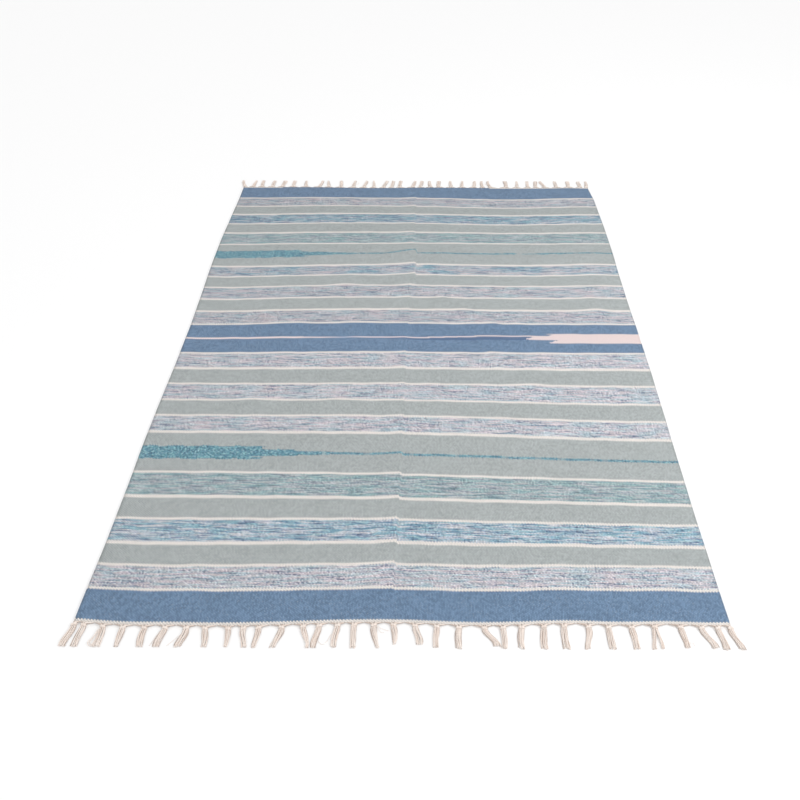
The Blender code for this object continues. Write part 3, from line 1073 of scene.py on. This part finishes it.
TASSELS = {
    Side.NEAR: (
        Tassel(-697, -10), Tassel(-676, -4, 2.8), Tassel(-634, -2, 3.4), Tassel(-591, -1), Tassel(-545, 0),
        Tassel(-501, -8), Tassel(-456, -10), Tassel(-416, 6, 2.6), Tassel(-367, 1), Tassel(-335, 9, 2.6),
        Tassel(-303, -4), Tassel(-254, -13), Tassel(-209, 14, 2.4), Tassel(-175, -8, 2.4), Tassel(-136, -5),
        Tassel(-101, 2, 2.6), Tassel(-59, 10, 3.2), Tassel(-17, 3, 2.8, 0, 9), Tassel(29, 9, 2.8, 4, 9),
        Tassel(75, -3, 2.6, 0, 2), Tassel(122, 0, 2.6), Tassel(176, 25, 2.5, 0, 6), Tassel(215, 0, 2.5),
        Tassel(255, -2, 2.9), Tassel(302, -3), Tassel(345, 1, 3.1), Tassel(397, -10, 2.5), Tassel(439, 2),
        Tassel(488, 3), Tassel(537, -1, 2.5, 13), Tassel(592, 4, 2.7, 0, 4), Tassel(636, 18, 2.6, 0, 3),
        Tassel(670, 6, 2.8), Tassel(697, 13, 2.6, 0, 1),
    ),
    Side.FAR: (
        Tassel(-697, -13, 2.6), Tassel(-663, 6), Tassel(-626, -3), Tassel(-583, 2), Tassel(-544, 7, 3.3),
        Tassel(-498, 0), Tassel(-447, -4, 3.2), Tassel(-392, 9, 2.8), Tassel(-354, -7, 2.8), Tassel(-306, 0),
        Tassel(-253, 3), Tassel(-211, 10, 2.6), Tassel(-170, -2), Tassel(-130, 12, 2.6), Tassel(-98, 6, 2.6),
        Tassel(-65, 3, 2.6), Tassel(-11, 8, 2.8), Tassel(20, 6, 2.6), Tassel(62, -5, 2.8),
        Tassel(95, 0, 3.2), Tassel(146, -3, 3.2), Tassel(190, 2), Tassel(237, 5), Tassel(274, -2, 2.6),
        Tassel(305, -8, 2.8), Tassel(369, -2), Tassel(412, 3, 3.2), Tassel(459, 0), Tassel(490, 2, 2.6),
        Tassel(526, -13, 2.8), Tassel(575, -4), Tassel(624, 1), Tassel(672, -3, 2.8), Tassel(696, 4, 2.6),
    ),
}


class Stray(NamedTuple):
    """A yarn that has come loose: points (across, out past the cloth, height) in millimetres."""

    points: tuple[tuple[float, float, float], ...]
    radius: float = 0.45


STRAYS = {
    Side.NEAR: (
        Stray(((-641, 21, 4), (-647, 40, 3), (-654, 51, 2.4), (-650, 58, 2), (-643, 59, 2), (-638, 49, 2.2),
               (-636, 30, 3)), 0.95),
        Stray(((-639, 20, 3), (-644, 38, 2.6), (-650, 50, 2.2), (-647, 55, 2), (-643, 56, 2), (-640, 47, 2),
               (-638, 32, 2.6)), 0.85),
        Stray(((-503, 15, 4), (-512, 29, 2), (-519, 46, 1.2), (-524, 58, 1))),
        Stray(((-461, 29, 3), (-477, 46, 1.2), (-488, 58, 1))),
        Stray(((-147, 29, 3), (-154, 44, 1.5), (-164, 53, 1), (-173, 46, 1))),
        Stray(((-53, 10, 5), (-45, 23, 3), (-36, 25, 1.5))),
        Stray(((-55, 8, 4), (-43, 15, 2.5), (-27, 20, 1.2))),
        Stray(((594, 38, 3), (600, 44, 2), (609, 45, 1.5), (612, 51, 1))),
        Stray(((668, 12, 4), (673, 10, 5), (682, 8, 6), (686, 15, 4))),
    ),
    Side.FAR: (
        Stray(((-252, 18, 4), (-240, 28, 2), (-232, 40, 1), (-236, 48, 1))),
        Stray(((300, 20, 4), (288, 30, 2), (284, 42, 1))),
    ),
}


@dataclass
class YarnMesh:
    """Collects tubes of yarn and makes one mesh of them."""

    sides: int = 6
    points: list = field(default_factory=list)
    faces: list = field(default_factory=list)
    marks: list = field(default_factory=list)

    def add(self, path: Sequence[Vector], radii: Sequence[float], tone: float) -> None:
        """Add one tube with closed ends.

        Args:
            path: the points along its middle.
            radii: its radius at each point.
            tone: 0 to 1, from the palest yarn to the darkest, or OUTER_TONE.
        """
        first = len(self.points)
        travelled = 0.0
        lengths = []
        up = Vector((0.0, 0.0, 1.0))
        for number, (centre, radius) in enumerate(zip(path, radii)):
            ahead = path[min(number + 1, len(path) - 1)] - path[max(number - 1, 0)]
            ahead.normalize()
            aside = ahead.cross(up)
            if aside.length < 0.2:
                aside = ahead.cross(Vector((0.0, 1.0, 0.0)))
            aside.normalize()
            above = aside.cross(ahead)
            for side in range(self.sides):
                angle = 2.0 * pi * side / self.sides
                self.points.append(centre + (aside * cos(angle) + above * sin(angle)) * radius)
            if number:
                travelled += (centre - path[number - 1]).length
            lengths.append(travelled)
        for ring in range(len(path) - 1):
            for side in range(self.sides):
                after = (side + 1) % self.sides
                low, high = first + ring * self.sides, first + (ring + 1) * self.sides
                self.faces.append((low + side, low + after, high + after, high + side))
                for part, length in ((side, ring), (side + 1, ring), (side + 1, ring + 1), (side, ring + 1)):
                    self.marks += (part / self.sides, lengths[length], tone)
        last = first + (len(path) - 1) * self.sides
        self.faces.append(tuple(range(first + self.sides - 1, first - 1, -1)))
        self.marks += (0.5, 0.0, tone) * self.sides
        self.faces.append(tuple(range(last, last + self.sides)))
        self.marks += (0.5, travelled, tone) * self.sides

    def make(self, name: str, finish: bpy.types.Material) -> bpy.types.Object:
        """Make the object, with each corner's place on its yarn held for the material."""
        made = mesh_object(name, np.array([tuple(point) for point in self.points]), self.faces, finish)
        held = made.data.attributes.new("yarn", "FLOAT_VECTOR", "CORNER")
        held.data.foreach_set("vector", np.array(self.marks, dtype=np.float32))
        return made


def smooth_path(points: Sequence[Vector], count: int) -> list[Vector]:
    """Read points evenly from one smooth curve through the given ones.

    Args:
        points: what the curve passes through.
        count: how many steps to take.

    Returns:
        The points along the curve, its two ends among them.
    """
    held = [points[0] * 2.0 - points[1], *points, points[-1] * 2.0 - points[-2]]
    spans = len(points) - 1
    path = []
    for step in range(count + 1):
        place = min(step / count * spans, spans - 1e-6)
        span = int(place)
        t = place - span
        a, b, c, d = held[span:span + 4]
        path.append(0.5 * ((2.0 * b) + (c - a) * t + (2.0 * a - 5.0 * b + 4.0 * c - d) * t * t
                           + (3.0 * b - a - 3.0 * c + d) * t ** 3))
    return path


@dataclass
class Fringe:
    """One end's fringe: the warps that leave the cloth, gather along its edge and hang from knots."""

    side: Side
    cloth: Cloth
    yarns: int = 11
    yarn_radius: float = 0.00112
    outer_scale: float = 0.7
    cut_flare: float = 1.12
    reach: float = 1.0675
    root_depth: float = 0.0030
    edge_base: float = 0.0012
    roll_pitch: float = 0.00062
    knot_offset: float = 0.0078
    knot_entry: float = 0.0042
    knot_wraps: int = 3
    knot_half_width: float = 0.0056
    wrap_pitch: float = 0.0015
    wrap_middle: float = 0.0029
    wrap_rise: float = 0.0030
    wrap_steps: int = 14
    slot_pitch: float = 0.00120
    tip_pitch: float = 0.00134
    usual_pitch: float = 3.0
    tip_shift: float = 0.0022
    sway_reach: float = 0.0022
    wander_reach: float = 0.0008
    uneven_cut: float = 4.5
    levels: tuple[float, ...] = (
        0.0009, 0.0026, 0.0009, 0.0042, 0.0012, 0.0028, 0.0045, 0.0010, 0.0029, 0.0011, 0.0009,
    )
    edge_steps: int = 8
    hang_steps: int = 15
    stray_steps: int = 18

    def build(self, name: str, finish: bpy.types.Material) -> bpy.types.Object:
        """Build every yarn of this end.

        Args:
            name: the piece's name.
            finish: its material.

        Returns:
            The piece.
        """
        chance = Random(29 if self.side is Side.NEAR else 31)
        mesh = YarnMesh()
        tassels = TASSELS[self.side]
        half = self.cloth.width / 2
        places = [tassel.across * MILLIMETRE for tassel in tassels]
        bounds = [-half + 0.001, *((a + b) / 2 for a, b in zip(places, places[1:])), half - 0.001]
        for number, tassel in enumerate(tassels):
            self._add_tassel(mesh, tassel, bounds[number], bounds[number + 1], chance)
        for stray in STRAYS[self.side]:
            self._add_stray(mesh, stray, chance)
        log.info("%s: %d tassels of %d yarns, %d faces", name, len(tassels), self.yarns, len(mesh.faces))
        return mesh.make(name, finish)

    def _edge(self, across: float) -> float:
        """How far out from the rug's middle the cloth ends at a place across it."""
        return self.cloth.length / 2 + swell_at(across, END_SWELLS[self.side])

    def _point(self, across: float, out: float, height: float) -> Vector:
        """A point in the rug's frame, from its distance outward."""
        return Vector((across, self.side.value * out, height))

    def _add_tassel(self, mesh: YarnMesh, tassel: Tassel, left: float, right: float, chance: Random) -> None:
        """Add one tassel with the warps that it gathers.

        Args:
            mesh: what collects the yarns.
            tassel: its sizes.
            left, right: the stretch of the cloth's end whose warps it takes.
            chance: the source of its unevenness.
        """
        knot = tassel.across * MILLIMETRE
        sway = chance.uniform(-1.0, 1.0)
        twist = chance.uniform(-1.0, 1.0)
        for yarn in range(self.yarns):
            place = yarn - (self.yarns - 1) / 2
            root = left + (right - left) * (yarn + 0.5) / self.yarns
            gathered = self._gathered(root, knot, place, self.levels[yarn])
            hanging = self._hanging(tassel, place, self.levels[yarn], sway, twist, chance)
            path = smooth_path(gathered, self.edge_steps)
            path += smooth_path([gathered[-1], *hanging], self.hang_steps)[1:]
            outer = yarn in (0, self.yarns - 1)
            radius = self.yarn_radius * chance.uniform(0.92, 1.10) * (self.outer_scale if outer else 1.0)
            radii = [radius] * (len(path) - 1) + [radius * self.cut_flare]
            mesh.add(path, radii, OUTER_TONE if outer else chance.random())
        self._add_knot(mesh, knot, chance)

    def _gathered(self, root: float, knot: float, place: float, level: float) -> list[Vector]:
        """A warp's way from the cloth along its edge into the knot.

        Args:
            root, knot: the places across of its root and of its knot.
            place: its place in the tassel, in yarns from the middle.
            level: its height in the bundle.

        Returns:
            Points from inside the cloth to inside the knot.
        """
        way = 1.0 if knot > root else -1.0
        run = abs(knot - root)
        entry = min(run, self.knot_entry)
        rest = run - entry
        roll = self.edge_base + self.roll_pitch * rest / WARP_PITCH
        layer = 0.0012 + 0.0016 * (int(place * 2) % 3)
        edge, start = self._edge(root), self._edge(knot)
        along_edge = edge + self.edge_base + roll * 0.12
        toward_knot = start + self.edge_base + roll * 0.62
        at_knot = start + self.edge_base + roll * 0.95 + 0.0008
        slot = knot + place * self.slot_pitch * 0.75
        return [
            self._point(root, edge - self.root_depth, 0.0020),
            self._point(root, edge + 0.0004, 0.0022),
            self._point(root + way * rest * 0.30, along_edge, layer),
            self._point(knot - way * entry - way * rest * 0.25, toward_knot, layer),
            self._point(knot - way * entry * 0.8, at_knot, layer + 0.0004),
            self._point(slot, start + self.knot_offset, 0.0008 + level * 0.95),
        ]

    def _hanging(self, tassel: Tassel, place: float, level: float, sway: float, twist: float,
                 chance: Random) -> list[Vector]:
        """A yarn's way from its knot to its cut tip.

        Args:
            tassel: the tassel's sizes.
            place: the yarn's place in it, in yarns from its middle.
            level: the yarn's height in the bundle.
            sway, twist: how the whole tassel bends, and how its yarns cross over.
            chance: the source of its unevenness.

        Returns:
            Points from below the knot to the tip.
        """
        knot = tassel.across * MILLIMETRE
        start = self._edge(knot) + self.knot_offset
        end = self.reach - (tassel.short + chance.uniform(0.0, self.uneven_cut)) * MILLIMETRE
        leg = tassel.split / 2 * MILLIMETRE * (1 if place > 0 else -1)
        spread = tassel.pitch / self.usual_pitch * self.tip_pitch
        phase = chance.uniform(0.0, 2.0 * pi)
        shift = chance.uniform(-self.tip_shift, self.tip_shift)
        points = []
        for step in range(1, 7):
            along = step / 6
            eased = along * along * (3.0 - 2.0 * along)
            turn = twist * 1.6 * along
            slot = place * cos(turn) * (self.slot_pitch + (spread - self.slot_pitch) * along)
            slot += (level - 0.0025) * sin(turn) * 0.6
            bend = sway * self.sway_reach * sin(pi * along)
            wander = sin(phase + along * 7.0) * self.wander_reach * along
            x = knot + (tassel.lean * MILLIMETRE + leg) * eased + slot + bend + wander + shift * along
            low = self.yarn_radius * 1.22
            z = max(low, (level + 0.0006) * (1.0 - 0.42 * along) + sin(phase * 1.7 + along * 6.0) * 0.0003)
            points.append(self._point(x, start + (end - start) * along, z))
        return points

    def _add_knot(self, mesh: YarnMesh, knot: float, chance: Random) -> None:
        """Add the turns of yarn that close a knot.

        Args:
            mesh: what collects the yarns.
            knot: the knot's place across.
            chance: the source of its unevenness.
        """
        middle = self._edge(knot) + self.knot_offset
        lean = chance.choice((-1.0, 1.0)) * chance.uniform(0.0009, 0.0016)
        for wrap in range(self.knot_wraps):
            out = middle + (wrap - (self.knot_wraps - 1) / 2) * self.wrap_pitch
            ring = []
            for step in range(self.wrap_steps + 1):
                angle = 2.0 * pi * step / self.wrap_steps
                wide = self.knot_half_width + 0.0002 * (wrap == 1)
                across = knot + cos(angle) * wide
                height = max(self.yarn_radius * 1.1, self.wrap_middle + sin(angle) * self.wrap_rise)
                ring.append(self._point(across, out + cos(angle) * lean, height))
            mesh.add(ring, [self.yarn_radius * 1.05] * len(ring), chance.random())

    def _add_stray(self, mesh: YarnMesh, stray: Stray, chance: Random) -> None:
        """Add a loose yarn.

        Args:
            mesh: what collects the yarns.
            stray: its points and its radius.
            chance: the source of its tone.
        """
        edge = self.cloth.length / 2
        points = [self._point(x * MILLIMETRE, edge + out * MILLIMETRE, z * MILLIMETRE)
                  for x, out, z in stray.points]
        path = smooth_path(points, self.stray_steps)
        mesh.add(path, [stray.radius * MILLIMETRE] * len(path), chance.random() * 0.5)


@dataclass(frozen=True)
class Lamp:
    """A large soft lamp: where it stands, what it points at, its side and its power."""

    name: str
    place: tuple[float, float, float]
    target: tuple[float, float, float]
    size: float
    watts: float


@dataclass(frozen=True)
class Sun:
    """Broad light that is the same everywhere: where it comes from, how wide it looks and its strength."""

    name: str
    direction: tuple[float, float, float]
    angle: float
    strength: float


@dataclass
class Studio:
    """The pale floor, the soft light and the camera at the photograph's place."""

    floor_size: float = 24.0
    floor_gap: float = 0.0004
    sky: float = 0.83
    lamps: tuple[Lamp, ...] = (Lamp("side_lamp", (2.2, -0.9, 2.0), (0.0, 0.0, 0.0), 1.6, 18.0),)
    suns: tuple[Sun, ...] = (
        Sun("right_window", (1.0, -0.5, 1.6), 40.0, 0.42), Sun("left_window", (-1.1, 0.1, 1.5), 40.0, 0.25),
    )
    camera_place: tuple[float, float, float] = (0.054, -1.925, 1.456)
    camera_tilt: float = 48.31
    camera_turn: float = 0.36
    lens: float = 34.884
    sensor: float = 36.0
    shift: float = -0.03025

    def build(self) -> None:
        """Build the stage."""
        self._floor()
        self._sky()
        for lamp in self.lamps:
            self._lamp(lamp)
        for sun in self.suns:
            self._sun(sun)
        self._camera()
        bpy.context.scene.view_settings.view_transform = "Standard"

    def _floor(self) -> None:
        """Lay the floor, a hair below the cloth."""
        half = self.floor_size / 2
        corners = np.array([(-half, -half, -self.floor_gap), (half, -half, -self.floor_gap),
                            (half, half, -self.floor_gap), (-half, half, -self.floor_gap)])
        floor = mesh_object("studio_floor", corners, [(0, 1, 2, 3)], StudioPaper().make())

    def _sky(self) -> None:
        """Light the scene evenly from all round."""
        world = bpy.data.worlds.new("studio_sky")
        world.use_nodes = True
        background = world.node_tree.nodes["Background"]
        background.inputs["Color"].default_value = (1.0, 1.0, 1.0, 1.0)
        background.inputs["Strength"].default_value = self.sky
        bpy.context.scene.world = world

    def _lamp(self, lamp: Lamp) -> None:
        """Hang one lamp and aim it.

        Args:
            lamp: its place, target, size and power.
        """
        light = bpy.data.lights.new(lamp.name, "AREA")
        light.shape = "DISK"
        light.size = lamp.size
        light.energy = lamp.watts
        made = bpy.data.objects.new(lamp.name, light)
        made.location = lamp.place
        made.rotation_euler = (Vector(lamp.target) - Vector(lamp.place)).to_track_quat("-Z", "Y").to_euler()
        bpy.context.scene.collection.objects.link(made)

    def _sun(self, sun: Sun) -> None:
        """Set one broad light.

        Args:
            sun: its direction, width and strength.
        """
        light = bpy.data.lights.new(sun.name, "SUN")
        light.angle = radians(sun.angle)
        light.energy = sun.strength
        made = bpy.data.objects.new(sun.name, light)
        made.rotation_euler = Vector(sun.direction).to_track_quat("Z", "Y").to_euler()
        bpy.context.scene.collection.objects.link(made)

    def _camera(self) -> None:
        """Set the camera up where the photograph's stood."""
        camera = bpy.data.cameras.new("photo_camera")
        camera.lens = self.lens
        camera.sensor_width = self.sensor
        camera.shift_x = self.shift
        camera.clip_end = 60.0
        made = bpy.data.objects.new("photo_camera", camera)
        made.location = self.camera_place
        made.rotation_euler = (radians(self.camera_tilt), 0.0, radians(self.camera_turn))
        bpy.context.scene.collection.objects.link(made)
        bpy.context.scene.camera = made


def main() -> None:
    """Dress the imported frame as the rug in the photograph."""
    logging.basicConfig(level=logging.INFO, format="%(message)s")
    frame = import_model()
    log.info("frame: %s", sorted(frame["nodes"]))

    Studio().build()

    cloth = Cloth()
    web = cloth.build(WovenCotton().make())
    log.info("cloth: %d faces", len(web.data.polygons))
    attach(web, "root")
    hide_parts("kilim_web")

    yarn = FringeCotton().make()
    ends = ((Side.NEAR, "near_tassels", "fringe_near"), (Side.FAR, "far_tassels", "fringe_far"))
    for side, name, node in ends:
        fringe = Fringe(side, cloth).build(name, yarn)
        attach(fringe, "root")
        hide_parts(node)


if __name__ == "__main__":
    main()
